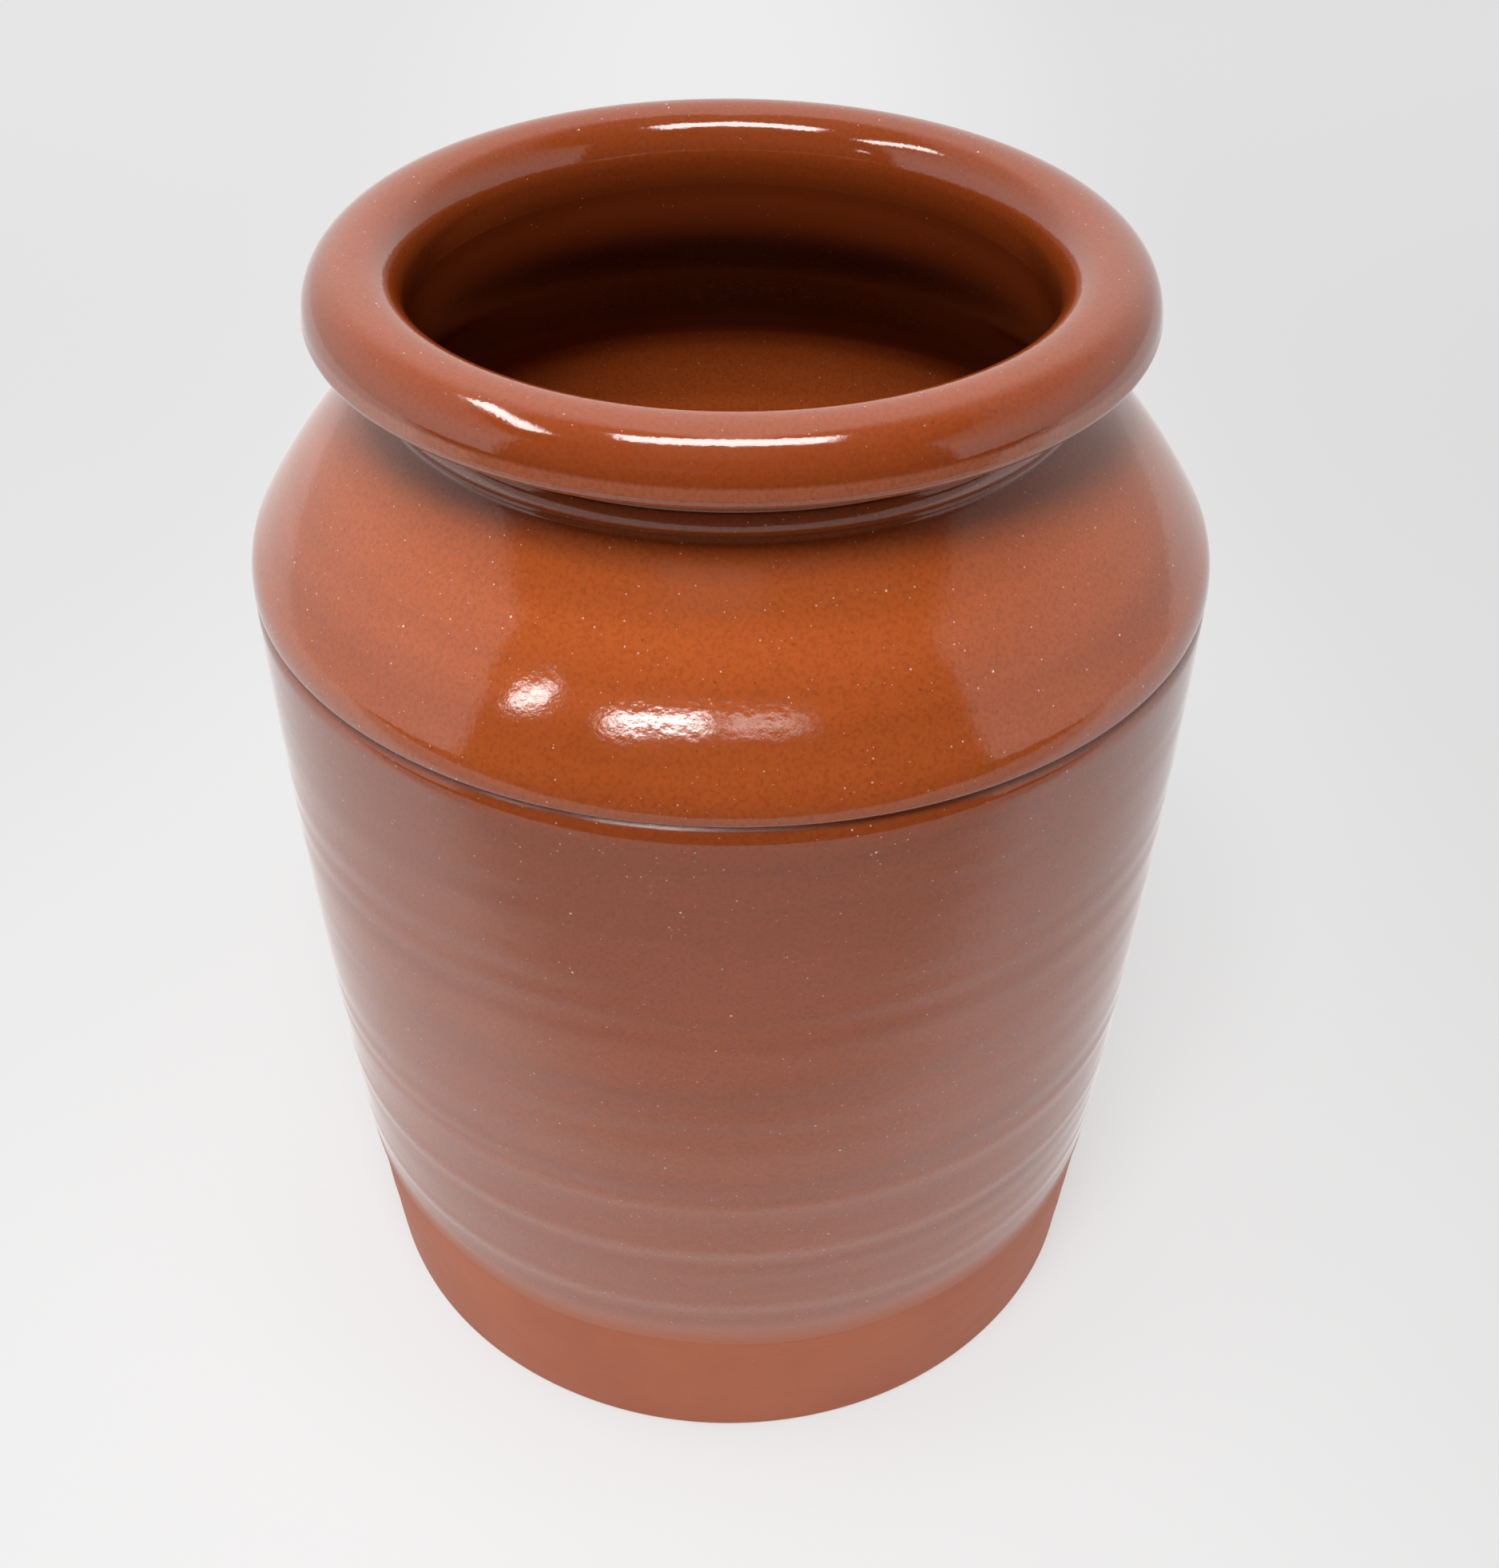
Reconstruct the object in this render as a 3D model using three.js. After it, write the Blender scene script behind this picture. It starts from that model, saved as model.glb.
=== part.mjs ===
// Wheel-thrown earthenware storage jar with a thick rolled rim, a short neck, a round shoulder that
// ends at an incised groove, and a body that narrows to a flat, bare foot. It is glazed in two coats:
// the inside was lined by pouring, and then the jar was held by its foot and dipped upside down.
// Millimetres, +Z up, origin at the middle of the underside.
import * as THREE from 'three';

// Foot, body and floor of the fired clay
const footRadius = 72.1;
const footRound = 1.2;
const girthRadius = 79.6;
const bodyBulge = 1.6;
const wall = 6.8;
const floorThickness = 8;
const floorCornerRadius = 10;

// Incised groove between the body and the shoulder, both of the girth's radius
const grooveHeight = 156;
const grooveDepth = 1.6;
const grooveFall = 1.2;
const grooveRise = 0.6;
const bodyEdgeRound = 3.2;
const shoulderLipRound = 1.1;

// Shoulder: a tight arc at its edge, then a flat arc up to the neck
const shoulderEdgeArc = 10;
const shoulderEdgeAngle = 31;
const shoulderCrownArc = 110;

// Neck, with its small cordon and the crease under the rim; inside it starts to widen a drop below the crest
const neckRadius = 56.4;
const neckFillet = 1.2;
const neckRise = 0.7;
const neckWall = 4.2;
const throatDrop = 14.5;
const cordonHeight = 3.2;
const cordonProud = 0.6;
const creaseHeight = 2.7;

// Rolled rim: how far its crest lies out from the neck, how far it swells out, in, up and down, and how
// steeply its underside faces down
const rollLean = 1.6;
const rollOverhang = 7.9;
const rollInset = 6.7;
const rollRise = 7.3;
const rollDrop = 2.5;
const rollUnderAngle = 60;

// Glaze coats
const glazeThickness = 0.35;
const glazeHeight = 30;
const glazeFeather = 1.5;
const dipDepth = 12;
const coatSeam = 0.2;
const bondGap = 0.03;

// Facets round the jar and along the stretches of its outline
const facets = 40;
const rollSteps = 5;
const arcSteps = 4;
const roundSteps = 3;
const footSteps = 2;
const lipSteps = 2;
const sameSpot = 1e-6;

// Heights and places that follow from the sizes above
const bodyTop = grooveHeight - bodyEdgeRound;
const shoulderStart = grooveHeight + shoulderLipRound;
const edgeAngle = THREE.MathUtils.degToRad(shoulderEdgeAngle);
const edgeCentre = point(girthRadius - shoulderEdgeArc, shoulderStart);
const crownCentre = step(edgeCentre, edgeAngle, shoulderEdgeArc - shoulderCrownArc);
const neckAngle = Math.acos((neckRadius + neckFillet - crownCentre.x) / (shoulderCrownArc + neckFillet));
const neckFilletCentre = step(crownCentre, neckAngle, shoulderCrownArc + neckFillet);
const cordonBottom = neckFilletCentre.y + neckRise;
const cordonTop = cordonBottom + cordonHeight;
const rollBottom = cordonTop + creaseHeight;
const underAngle = THREE.MathUtils.degToRad(rollUnderAngle);
const underTurn = Math.atan(rollDrop / rollOverhang * Math.tan(underAngle));
const underRise = rollOverhang * Math.cos(underTurn) / Math.tan(underAngle);
const rollMiddle = rollBottom + underRise + rollDrop * Math.sin(underTurn);
const rimTop = rollMiddle + rollRise;
const rollRadius = neckRadius + rollLean;
const mouthRadius = rollRadius - rollInset;
const throatRadius = neckRadius - neckWall;
const throatArc = shoulderCrownArc - wall;
const throatRound = filletUpTo(throatArc, point(throatRadius, rimTop - throatDrop));
const throatCentre = point(throatRadius + throatRound, rimTop - throatDrop);
const throatAngle = throatCentre.clone().sub(crownCentre).angle();
const seamHeight = rimTop - dipDepth;

function point(radius, height) {
  return new THREE.Vector2(radius, height);
}

// Place that lies a distance away from another, at an angle above the horizontal
function step(from, angle, distance) {
  return point(from.x + distance * Math.cos(angle), from.y + distance * Math.sin(angle));
}

// Radius of the fillet that leaves an arc about the crown's centre and ends upright at a place
function filletUpTo(arcRadius, end) {
  const across = end.x - crownCentre.x;
  const away = end.distanceTo(crownCentre);
  return (away ** 2 - arcRadius ** 2) / (2 * (arcRadius - across));
}

// Points of part of an ellipse, from one angle to another
function oval(centre, across, up, from, to, steps) {
  return new THREE.EllipseCurve(centre.x, centre.y, across, up, from, to, to < from).getPoints(steps);
}

function arc(centre, radius, from, to, steps) {
  return oval(centre, radius, radius, from, to, steps);
}

// Points of a curve that leaves its start towards a corner and arrives at its end from that corner
function bend(start, corner, end, steps) {
  return new THREE.QuadraticBezierCurve(start, corner, end).getPoints(steps);
}

// Point on a thrown wall between two ends, whose taper swells a little half way up
function wallPoint(low, high, height) {
  const share = (height - low.y) / (high.y - low.y);
  const swell = 4 * bodyBulge * share * (1 - share);
  return point(low.x + (high.x - low.x) * share + swell, height);
}

function wallPoints(low, high, fromHeight, toHeight, steps) {
  const points = [];
  for (let index = 0; index <= steps; index += 1) {
    points.push(wallPoint(low, high, fromHeight + (toHeight - fromHeight) * index / steps));
  }
  return points;
}

// One outline from several stretches, with the end points that they share kept once
function chain(...stretches) {
  const outline = [];
  for (const here of stretches.flat()) {
    const last = outline.at(-1);
    if (!last || last.distanceTo(here) > sameSpot) outline.push(here);
  }
  return outline;
}

// Outline lifted off the surface by a distance, square to the surface
function lifted(outline, distance) {
  const facing = (from, to) => point(to.y - from.y, from.x - to.x).normalize();
  const faces = outline.slice(1).map((here, index) => facing(outline[index], here));
  return outline.map((here, index) => {
    const before = faces[Math.max(index - 1, 0)];
    const after = faces[Math.min(index, faces.length - 1)];
    const middle = before.clone().add(after).normalize();
    return here.clone().addScaledVector(middle, distance / middle.dot(before));
  });
}

// Underside, foot and the lowest part of the body, which stay bare
const bodyLow = point(footRadius, footRound);
const bodyHigh = point(girthRadius, bodyTop);
const bareSurface = chain(
  [point(0, 0)],
  arc(point(footRadius - footRound, footRound), footRound, -Math.PI / 2, 0, roundSteps),
  wallPoints(bodyLow, bodyHigh, footRound, glazeHeight, footSteps),
);

// Groove: the body's rounded upper edge, the cut and the shoulder's lower lip
function grooveOutline() {
  const bottom = point(girthRadius - grooveDepth, grooveHeight);
  const bodyCorner = point(girthRadius, grooveHeight - grooveFall);
  const lipCorner = point(girthRadius, grooveHeight + grooveRise);
  return chain(
    bend(bodyHigh, bodyCorner, bottom, roundSteps),
    bend(bottom, lipCorner, point(girthRadius, shoulderStart), lipSteps),
  );
}

function shoulderOutline() {
  return chain(
    arc(edgeCentre, shoulderEdgeArc, 0, edgeAngle, arcSteps),
    arc(crownCentre, shoulderCrownArc, edgeAngle, neckAngle, arcSteps),
    arc(neckFilletCentre, neckFillet, Math.PI + neckAngle, Math.PI, roundSteps),
  );
}

// Cordon, crease and rolled rim, over the crest and into the mouth
function rimOutline() {
  const cordonCentre = point(neckRadius, (cordonBottom + cordonTop) / 2);
  const creaseCorner = point(neckRadius, rollBottom - rollLean / Math.tan(underAngle));
  const rollFoot = point(rollRadius, rollBottom);
  const rollCentre = point(rollRadius, rollMiddle);
  return chain(
    oval(cordonCentre, cordonProud, cordonHeight / 2, -Math.PI / 2, Math.PI / 2, arcSteps),
    bend(point(neckRadius, cordonTop), creaseCorner, rollFoot, lipSteps),
    oval(rollCentre, rollOverhang, rollDrop, -underTurn, 0, roundSteps),
    oval(rollCentre, rollOverhang, rollRise, 0, Math.PI / 2, rollSteps),
    oval(rollCentre, rollInset, rollRise, Math.PI / 2, Math.PI, arcSteps),
  );
}

// Point on the straight stretch inside the neck
function throatPoint(height) {
  const share = (height - throatCentre.y) / (rollMiddle - throatCentre.y);
  return point(throatRadius + (mouthRadius - throatRadius) * share, height);
}

// Surface under the dipped coat, from its lower edge over the rim to the seam inside the neck
const dippedSurface = chain(
  [wallPoint(bodyLow, bodyHigh, glazeHeight)],
  wallPoints(bodyLow, bodyHigh, glazeHeight + glazeFeather, bodyTop, arcSteps),
  grooveOutline(),
  shoulderOutline(),
  rimOutline(),
  [throatPoint(seamHeight + coatSeam / 2)],
);

// Surface under the poured coat: throat, underside of the shoulder, wall and floor
const innerLow = point(footRadius - wall, floorThickness + floorCornerRadius);
const innerHigh = point(girthRadius - wall, shoulderStart);
const floorCorner = point(innerLow.x - floorCornerRadius, innerLow.y);
const pouredSurface = chain(
  [throatPoint(seamHeight - coatSeam / 2)],
  arc(throatCentre, throatRound, Math.PI, Math.PI + throatAngle, roundSteps),
  arc(crownCentre, throatArc, throatAngle, edgeAngle, roundSteps),
  arc(edgeCentre, shoulderEdgeArc - wall, edgeAngle, 0, roundSteps),
  wallPoints(innerLow, innerHigh, innerHigh.y, innerLow.y, arcSteps),
  arc(floorCorner, floorCornerRadius, 0, -Math.PI / 2, roundSteps),
  [point(0, floorThickness)],
);

// Solid of revolution about the upright axis
function turned(name, outline, color, roughness) {
  const geometry = new THREE.LatheGeometry(outline, facets);
  geometry.rotateX(Math.PI / 2);
  const material = new THREE.MeshStandardMaterial({ color, roughness, metalness: 0 });
  const mesh = new THREE.Mesh(geometry, material);
  mesh.name = name;
  return mesh;
}

function clayBody() {
  return turned('clay_body', chain(bareSurface, dippedSurface, pouredSurface), '#a9664a', 0.85);
}

// Coat on the outside, the rim and the mouth, thinning to nothing at its lower edge
function outerGlaze() {
  const underside = lifted(dippedSurface, bondGap);
  const face = lifted(dippedSurface, bondGap + glazeThickness).slice(1);
  return turned('outer_glaze', [...face, ...underside.reverse(), face[0]], '#b05a2e', 0.12);
}

// Coat that lines the inside
function innerGlaze() {
  const underside = lifted(pouredSurface, bondGap);
  const face = lifted(pouredSurface, bondGap + glazeThickness);
  return turned('inner_glaze', [...underside.reverse(), ...face], '#8a451f', 0.15);
}

const jar = new THREE.Group();
jar.add(clayBody(), outerGlaze(), innerGlaze());

export default jar;
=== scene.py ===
"""Looks of a wheel-thrown earthenware storage jar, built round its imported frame.

The jar has three pieces: the thrown clay, the coat that it got when it was dipped upside down, and the
coat that was poured in to line it. Each is a fine turned mesh with the sizes of its solid, and with the
throwing rings, ripples and uneven edges of a thrown and dipped pot. Sizes of the jar, of its marks and of
what a mesh keeps for its material are in millimetres; places are scaled to metres when a mesh is made.
Noise, specks and bumps of the materials, the stage, the lights and the camera are in metres.
"""
import math
from collections import namedtuple

import bmesh
import bpy
import numpy as np
from mathutils import Matrix, Vector


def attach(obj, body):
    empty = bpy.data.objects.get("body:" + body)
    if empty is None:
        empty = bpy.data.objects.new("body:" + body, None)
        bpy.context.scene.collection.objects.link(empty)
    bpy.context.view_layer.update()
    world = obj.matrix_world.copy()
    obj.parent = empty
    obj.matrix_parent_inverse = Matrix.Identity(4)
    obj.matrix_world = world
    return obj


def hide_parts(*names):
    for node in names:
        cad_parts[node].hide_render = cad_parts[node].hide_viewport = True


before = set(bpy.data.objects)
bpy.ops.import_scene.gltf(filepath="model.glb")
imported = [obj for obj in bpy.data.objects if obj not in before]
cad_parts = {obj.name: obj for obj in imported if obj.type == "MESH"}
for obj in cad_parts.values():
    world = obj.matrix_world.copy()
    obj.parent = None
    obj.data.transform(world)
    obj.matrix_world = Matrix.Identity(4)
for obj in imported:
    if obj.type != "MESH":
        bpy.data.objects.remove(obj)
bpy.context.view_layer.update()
MM = 0.001

# Foot, body and floor of the fired clay, as in its solid
FOOT_RADIUS = 72.1
FOOT_ROUND = 1.2
GIRTH_RADIUS = 79.6
BODY_BULGE = 1.6
WALL = 6.8
FLOOR_THICKNESS = 8.0
FLOOR_CORNER_RADIUS = 10.0

# Incised groove between the body and the shoulder
GROOVE_HEIGHT = 156.0
GROOVE_DEPTH = 1.6
GROOVE_FALL = 1.2
GROOVE_RISE = 0.6
BODY_EDGE_ROUND = 3.2
SHOULDER_LIP_ROUND = 1.1

# Shoulder: a tight arc at its edge, then a flat arc up to the neck
SHOULDER_EDGE_ARC = 10.0
SHOULDER_EDGE_ANGLE = math.radians(31.0)
SHOULDER_CROWN_ARC = 110.0

# Neck, with its small cordon and the crease under the rim; inside it starts to widen a drop below the crest
NECK_RADIUS = 56.4
NECK_FILLET = 1.2
NECK_RISE = 0.7
NECK_WALL = 4.2
THROAT_DROP = 14.5
CORDON_HEIGHT = 3.2
CORDON_PROUD = 0.6
CREASE_HEIGHT = 2.7

# Rolled rim: lean of its crest off the neck, swell out, in, up and down, and slope of its underside
ROLL_LEAN = 1.6
ROLL_OVERHANG = 7.9
ROLL_INSET = 6.7
ROLL_RISE = 7.3
ROLL_DROP = 2.5
ROLL_UNDER_ANGLE = math.radians(60.0)

# Glaze coats
GLAZE_THICKNESS = 0.35
GLAZE_HEIGHT = 30.0
DIP_DEPTH = 12.0
COAT_SEAM = 0.01
BOND_GAP = 0.03

# Fineness of the meshes, round the jar and along its outline; faces that the coats hide are coarse
SEGMENTS = 240
FINE = 1.1
ROLL_FINE = 0.6
INNER_FINE = 1.3
COARSE = 4.0
ROLL_COARSE = 2.0
LARGEST_TURN = math.radians(10.0)
SAME_SPOT = 1e-6
SHARP_EDGE = math.radians(50.0)


def point(radius, height):
    return np.array((radius, height))


def step(start, angle, distance):
    """Place that lies a distance away from another, at an angle above the horizontal."""
    return start + distance * point(math.cos(angle), math.sin(angle))


# Places that follow from the sizes
BODY_LOW = point(FOOT_RADIUS, FOOT_ROUND)
BODY_HIGH = point(GIRTH_RADIUS, GROOVE_HEIGHT - BODY_EDGE_ROUND)
SHOULDER_START = GROOVE_HEIGHT + SHOULDER_LIP_ROUND
EDGE_CENTRE = point(GIRTH_RADIUS - SHOULDER_EDGE_ARC, SHOULDER_START)
CROWN_CENTRE = step(EDGE_CENTRE, SHOULDER_EDGE_ANGLE, SHOULDER_EDGE_ARC - SHOULDER_CROWN_ARC)


def fillet_up_to(arc_radius, end):
    """Radius of the fillet that leaves an arc about the crown's centre and ends upright at a place."""
    across = end[0] - CROWN_CENTRE[0]
    away = math.dist(end, CROWN_CENTRE)
    return (away**2 - arc_radius**2) / (2 * (arc_radius - across))


NECK_ANGLE = math.acos((NECK_RADIUS + NECK_FILLET - CROWN_CENTRE[0]) / (SHOULDER_CROWN_ARC + NECK_FILLET))
NECK_FILLET_CENTRE = step(CROWN_CENTRE, NECK_ANGLE, SHOULDER_CROWN_ARC + NECK_FILLET)
CORDON_BOTTOM = NECK_FILLET_CENTRE[1] + NECK_RISE
CORDON_TOP = CORDON_BOTTOM + CORDON_HEIGHT
ROLL_BOTTOM = CORDON_TOP + CREASE_HEIGHT
UNDER_TURN = math.atan(ROLL_DROP / ROLL_OVERHANG * math.tan(ROLL_UNDER_ANGLE))
UNDER_RISE = ROLL_OVERHANG * math.cos(UNDER_TURN) / math.tan(ROLL_UNDER_ANGLE)
ROLL_MIDDLE = ROLL_BOTTOM + UNDER_RISE + ROLL_DROP * math.sin(UNDER_TURN)
RIM_TOP = ROLL_MIDDLE + ROLL_RISE
ROLL_RADIUS = NECK_RADIUS + ROLL_LEAN
MOUTH_RADIUS = ROLL_RADIUS - ROLL_INSET
THROAT_RADIUS = NECK_RADIUS - NECK_WALL
THROAT_ARC = SHOULDER_CROWN_ARC - WALL
THROAT_ROUND = fillet_up_to(THROAT_ARC, point(THROAT_RADIUS, RIM_TOP - THROAT_DROP))
THROAT_CENTRE = point(THROAT_RADIUS + THROAT_ROUND, RIM_TOP - THROAT_DROP)
THROAT_ANGLE = math.atan2(*(THROAT_CENTRE - CROWN_CENTRE)[::-1])
SEAM_HEIGHT = RIM_TOP - DIP_DEPTH
INNER_LOW = point(FOOT_RADIUS - WALL, FLOOR_THICKNESS + FLOOR_CORNER_RADIUS)
INNER_HIGH = point(GIRTH_RADIUS - WALL, SHOULDER_START)


def line(start, end, spacing):
    steps = max(1, math.ceil(np.linalg.norm(end - start) / spacing))
    return start + np.linspace(0, 1, steps + 1)[:, None] * (end - start)


def oval(centre, across, up, start, end, spacing):
    """Points of part of an ellipse, from one angle to another."""
    turn = abs(end - start)
    steps = math.ceil(max(turn / LARGEST_TURN, turn * max(across, up) / spacing))
    angles = np.linspace(start, end, steps + 1)
    return np.stack((centre[0] + across * np.cos(angles), centre[1] + up * np.sin(angles)), -1)


def arc(centre, radius, start, end, spacing):
    return oval(centre, radius, radius, start, end, spacing)


def bend(start, corner, end):
    """Points of a curve that leaves its start towards a corner and arrives at its end from that corner."""
    share = np.linspace(0, 1, math.ceil(math.pi / 2 / LARGEST_TURN) + 1)[:, None]
    return (1 - share) ** 2 * start + 2 * share * (1 - share) * corner + share**2 * end


def wall(low, high, from_height, to_height, spacing):
    """Points of a thrown wall between two ends, whose taper swells a little half way up."""
    steps = math.ceil(abs(to_height - from_height) / spacing)
    heights = np.linspace(from_height, to_height, steps + 1)
    share = (heights - low[1]) / (high[1] - low[1])
    swell = 4 * BODY_BULGE * share * (1 - share)
    return np.stack((low[0] + (high[0] - low[0]) * share + swell, heights), -1)


def chain(*stretches):
    """One outline from several stretches, with the end points that they share kept once."""
    outline = np.vstack(stretches)
    apart = np.linalg.norm(np.diff(outline, axis=0), axis=1) > SAME_SPOT
    return outline[np.concatenate(([True], apart))]


def bare_outline(spacing):
    """Underside, foot and the lowest part of the body, which stay bare."""
    return chain(
        line(point(0, 0), point(FOOT_RADIUS - FOOT_ROUND, 0), spacing),
        arc(point(FOOT_RADIUS - FOOT_ROUND, FOOT_ROUND), FOOT_ROUND, -math.pi / 2, 0, spacing),
        wall(BODY_LOW, BODY_HIGH, FOOT_ROUND, GLAZE_HEIGHT, spacing),
    )


def groove_outline():
    """The body's rounded upper edge, the cut and the shoulder's lower lip."""
    bottom = point(GIRTH_RADIUS - GROOVE_DEPTH, GROOVE_HEIGHT)
    body_corner = point(GIRTH_RADIUS, GROOVE_HEIGHT - GROOVE_FALL)
    lip_corner = point(GIRTH_RADIUS, GROOVE_HEIGHT + GROOVE_RISE)
    return chain(
        bend(BODY_HIGH, body_corner, bottom),
        bend(bottom, lip_corner, point(GIRTH_RADIUS, SHOULDER_START)),
    )


def shoulder_outline(spacing):
    return chain(
        arc(EDGE_CENTRE, SHOULDER_EDGE_ARC, 0, SHOULDER_EDGE_ANGLE, spacing),
        arc(CROWN_CENTRE, SHOULDER_CROWN_ARC, SHOULDER_EDGE_ANGLE, NECK_ANGLE, spacing),
        arc(NECK_FILLET_CENTRE, NECK_FILLET, math.pi + NECK_ANGLE, math.pi, spacing),
    )


def rim_outline(spacing):
    """Cordon, crease and rolled rim, over the crest and into the mouth."""
    cordon_centre = point(NECK_RADIUS, (CORDON_BOTTOM + CORDON_TOP) / 2)
    roll_centre = point(ROLL_RADIUS, ROLL_MIDDLE)
    roll_foot = point(ROLL_RADIUS, ROLL_BOTTOM)
    crease_corner = point(NECK_RADIUS, ROLL_BOTTOM - ROLL_LEAN / math.tan(ROLL_UNDER_ANGLE))
    lower_edge = oval(roll_centre, ROLL_OVERHANG, ROLL_DROP, -UNDER_TURN, 0, spacing)
    return chain(
        oval(cordon_centre, CORDON_PROUD, CORDON_HEIGHT / 2, -math.pi / 2, math.pi / 2, spacing),
        bend(point(NECK_RADIUS, CORDON_TOP), crease_corner, roll_foot),
        line(roll_foot, lower_edge[0], spacing),
        lower_edge,
        oval(roll_centre, ROLL_OVERHANG, ROLL_RISE, 0, math.pi / 2, spacing),
        oval(roll_centre, ROLL_INSET, ROLL_RISE, math.pi / 2, math.pi, spacing),
    )


def throat_point(height):
    """Point on the straight stretch inside the neck."""
    share = (height - THROAT_CENTRE[1]) / (ROLL_MIDDLE - THROAT_CENTRE[1])
    return point(THROAT_RADIUS + (MOUTH_RADIUS - THROAT_RADIUS) * share, height)


def dipped_outline(spacing, roll_spacing):
    """Clay under the dipped coat, from its lower edge over the rim to the seam inside the neck."""
    rim = rim_outline(roll_spacing)
    return chain(
        wall(BODY_LOW, BODY_HIGH, GLAZE_HEIGHT, BODY_HIGH[1], spacing),
        groove_outline(),
        shoulder_outline(spacing),
        rim,
        line(rim[-1], throat_point(SEAM_HEIGHT + COAT_SEAM / 2), spacing),
    )


def poured_outline(spacing):
    """Clay under the poured coat: throat, underside of the shoulder, wall and floor."""
    throat = arc(THROAT_CENTRE, THROAT_ROUND, math.pi, math.pi + THROAT_ANGLE, spacing)
    floor_corner = INNER_LOW - point(FLOOR_CORNER_RADIUS, 0)
    floor = arc(floor_corner, FLOOR_CORNER_RADIUS, 0, -math.pi / 2, spacing)
    return chain(
        line(throat_point(SEAM_HEIGHT - COAT_SEAM / 2), throat[0], spacing),
        throat,
        arc(CROWN_CENTRE, THROAT_ARC, THROAT_ANGLE, SHOULDER_EDGE_ANGLE, spacing),
        arc(EDGE_CENTRE, SHOULDER_EDGE_ARC - WALL, SHOULDER_EDGE_ANGLE, 0, spacing),
        wall(INNER_LOW, INNER_HIGH, INNER_HIGH[1], INNER_LOW[1], spacing),
        floor,
        line(floor[-1], point(0, FLOOR_THICKNESS), spacing),
    )


class Outline:
    """Points of an outline, each with its distance along, direction, facing and hollow."""

    def __init__(self, points):
        self.points = points
        lengths = np.linalg.norm(np.diff(points, axis=0), axis=1)
        self.along = np.concatenate(([0], np.cumsum(lengths)))
        self.ahead = np.gradient(points, self.along, axis=0)
        self.ahead /= np.linalg.norm(self.ahead, axis=1, keepdims=True)
        self.facing = np.stack((self.ahead[:, 1], -self.ahead[:, 0]), -1)
        turned = np.unwrap(np.arctan2(self.ahead[:, 1], self.ahead[:, 0]))
        self.hollow = -np.gradient(turned, self.along)
        if points[-1, 0] < SAME_SPOT:
            self.facing[-1] = (0, math.copysign(1, self.facing[-2, 1]))
        if points[0, 0] < SAME_SPOT:
            self.facing[0] = (0, math.copysign(1, self.facing[1, 1]))

    def rows(self, lift=0.0, slide=0.0):
        """Rows of (radius, height) round the jar, lifted square to the outline and slid along it."""
        lift = np.broadcast_to(lift, (len(self.points), SEGMENTS))[..., None]
        slide = np.broadcast_to(slide, (len(self.points), SEGMENTS))[..., None]
        return self.points[:, None] + lift * self.facing[:, None] + slide * self.ahead[:, None]


ANGLES = np.linspace(0, 2 * math.pi, SEGMENTS, endpoint=False)[None, :]
Waves = namedtuple("Waves", "seed count lengths most_turns")


def waves(kind, height, along):
    """Mixed waves, from 0 to about height, over distance along an outline and angle round it."""
    chance = np.random.default_rng(kind.seed)
    shortest, longest = kind.lengths
    length = np.exp(chance.uniform(math.log(shortest), math.log(longest), kind.count))
    turns = chance.integers(-kind.most_turns, kind.most_turns + 1, kind.count)
    phase = chance.uniform(0, 2 * math.pi, kind.count)
    size = height * length / (2 * np.linalg.norm(length) * math.sqrt(2))
    total = np.full((len(along), SEGMENTS), height / 2)
    for one in range(kind.count):
        turn = 2 * math.pi * along[:, None] / length[one] + turns[one] * ANGLES + phase[one]
        total += size[one] * np.cos(turn)
    return total


def sway(kind, most):
    """Sway of a line round the jar, from about -most to most."""
    return most * (waves(kind, 2.0, np.zeros(1)) - 1)


def smooth(value, low, high):
    """0 below low, 1 above high, and an even curve between them."""
    share = np.clip((value - low) / (high - low), 0, 1)
    return share * share * (3 - 2 * share)


def bell(value, middle, width):
    """1 at the middle, falling to 0 about two widths away from it."""
    return np.exp(-(((value - middle) / width) ** 2))


def turned_mesh(name, rows, closed=False):
    """Mesh of rows of (radius, height) round the jar. A row on the axis becomes one point."""
    radius, height = rows[..., 0], rows[..., 1]
    places = np.stack((radius * np.cos(ANGLES), radius * np.sin(ANGLES), height), -1) * MM
    numbers = np.arange(radius.size).reshape(radius.shape)
    start_pole = radius[0].max() < SAME_SPOT
    end_pole = radius[-1].max() < SAME_SPOT
    body = numbers[int(start_pole) : len(numbers) - int(end_pole)]
    if closed:
        body = np.concatenate((body, numbers[:1]))
    side = np.roll(body, -1, axis=1)
    faces = np.stack((body[:-1], side[:-1], side[1:], body[1:]), -1).reshape(-1, 4).tolist()
    if start_pole:
        ring = numbers[1]
        faces += [(numbers[0, 0], b, a) for a, b in zip(ring, np.roll(ring, -1))]
    if end_pole:
        ring = numbers[-2]
        faces += [(numbers[-1, 0], a, b) for a, b in zip(ring, np.roll(ring, -1))]
    mesh = bpy.data.meshes.new(name)
    mesh.from_pydata(places.reshape(-1, 3).tolist(), [], faces)
    mesh.validate()
    mesh.update()
    mesh.shade_smooth()
    mesh.set_sharp_from_angle(angle=SHARP_EDGE)
    return mesh


def round_jar(values):
    """Values along an outline, with or without a value for each angle, as full rows round the jar."""
    rows = values if values.ndim == 2 else values[:, None]
    return np.broadcast_to(rows, (len(values), SEGMENTS))


def paint(mesh, name, values):
    """Keeps one number per point of a mesh, for its material to read."""
    layer = mesh.attributes.new(name, "FLOAT", "POINT")
    layer.data.foreach_set("value", np.ascontiguousarray(values, dtype=np.float32).ravel())


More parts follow.
